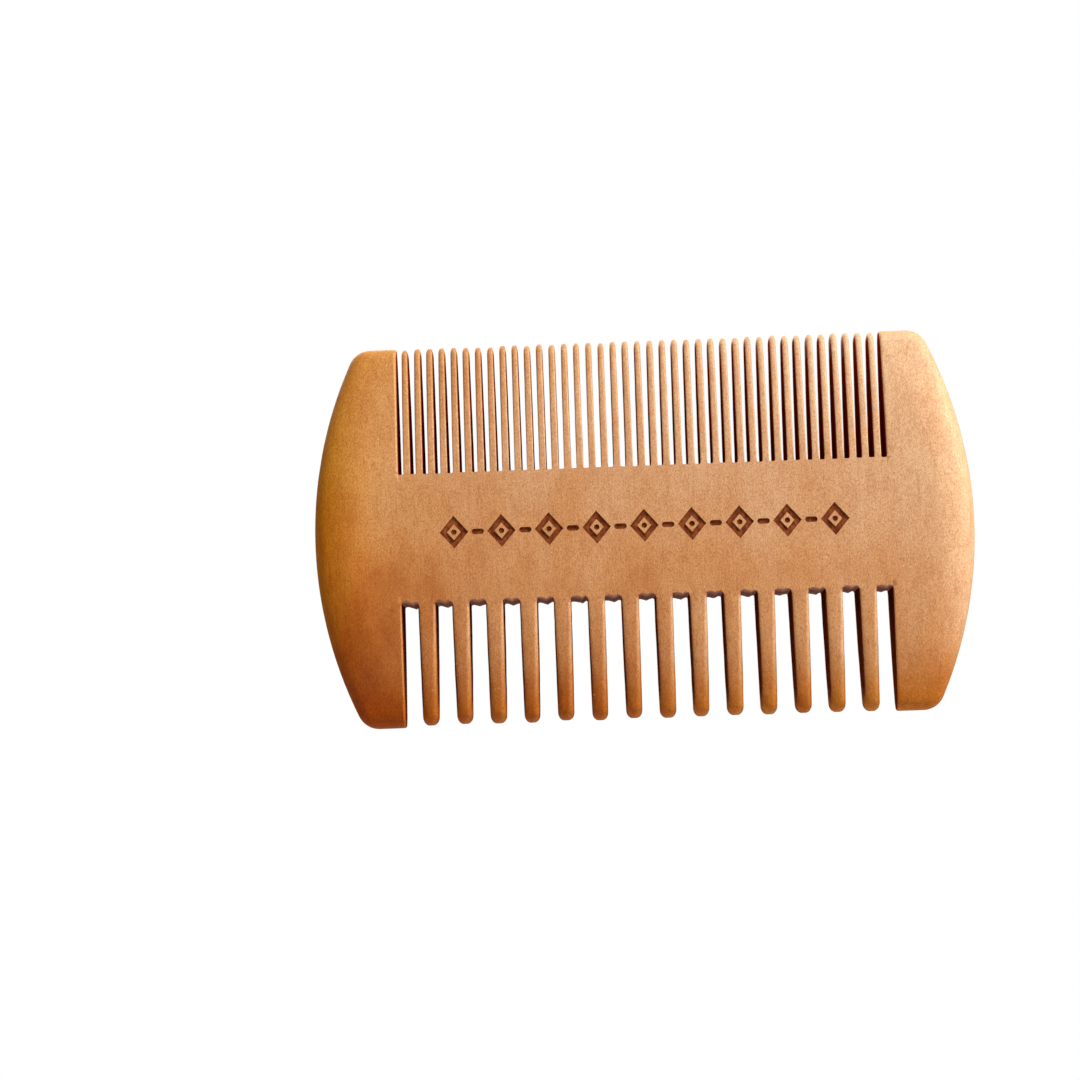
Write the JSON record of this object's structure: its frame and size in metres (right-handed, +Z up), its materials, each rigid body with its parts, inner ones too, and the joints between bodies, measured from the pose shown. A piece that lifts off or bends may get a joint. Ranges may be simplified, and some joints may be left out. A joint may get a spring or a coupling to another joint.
{
  "type": "double-sided wooden beard comb",
  "caption": "Pocket beard comb cut from one board of oiled wood, with fine teeth on one side, wide teeth on the other and a curved solid guard at each end.",
  "frame": {"origin": "bottom centre of the box around the comb, level with the lower ends of the two end guards", "axes": "+X along the comb's length, +Y out of its back (the engraved front faces -Y), +Z up along the fine teeth"},
  "size_m": [0.088, 0.0074, 0.051],
  "materials": {
    "oiled_wood": "satin oiled, with dark scorched cut faces between the teeth"
  },
  "bodies": {
    "root": {"spine": "oiled_wood", "left_end_guard": "oiled_wood", "right_end_guard": "oiled_wood", "wide_tooth_01": "oiled_wood", "wide_tooth_02": "oiled_wood", "wide_tooth_03": "oiled_wood", "wide_tooth_04": "oiled_wood", "wide_tooth_05": "oiled_wood", "wide_tooth_06": "oiled_wood", "wide_tooth_07": "oiled_wood", "wide_tooth_08": "oiled_wood", "wide_tooth_09": "oiled_wood", "wide_tooth_10": "oiled_wood", "wide_tooth_11": "oiled_wood", "wide_tooth_12": "oiled_wood", "wide_tooth_13": "oiled_wood", "wide_tooth_14": "oiled_wood", "fine_tooth_01": "oiled_wood", "fine_tooth_02": "oiled_wood", "fine_tooth_03": "oiled_wood", "fine_tooth_04": "oiled_wood", "fine_tooth_05": "oiled_wood", "fine_tooth_06": "oiled_wood", "fine_tooth_07": "oiled_wood", "fine_tooth_08": "oiled_wood", "fine_tooth_09": "oiled_wood", "fine_tooth_10": "oiled_wood", "fine_tooth_11": "oiled_wood", "fine_tooth_12": "oiled_wood", "fine_tooth_13": "oiled_wood", "fine_tooth_14": "oiled_wood", "fine_tooth_15": "oiled_wood", "fine_tooth_16": "oiled_wood", "fine_tooth_17": "oiled_wood", "fine_tooth_18": "oiled_wood", "fine_tooth_19": "oiled_wood", "fine_tooth_20": "oiled_wood", "fine_tooth_21": "oiled_wood", "fine_tooth_22": "oiled_wood", "fine_tooth_23": "oiled_wood", "fine_tooth_24": "oiled_wood", "fine_tooth_25": "oiled_wood", "fine_tooth_26": "oiled_wood", "fine_tooth_27": "oiled_wood", "fine_tooth_28": "oiled_wood", "fine_tooth_29": "oiled_wood", "fine_tooth_30": "oiled_wood", "fine_tooth_31": "oiled_wood", "fine_tooth_32": "oiled_wood", "fine_tooth_33": "oiled_wood", "fine_tooth_34": "oiled_wood", "fine_tooth_35": "oiled_wood", "fine_tooth_36": "oiled_wood", "fine_tooth_37": "oiled_wood", "fine_tooth_38": "oiled_wood", "fine_tooth_39": "oiled_wood"}
  },
  "joints": []
}
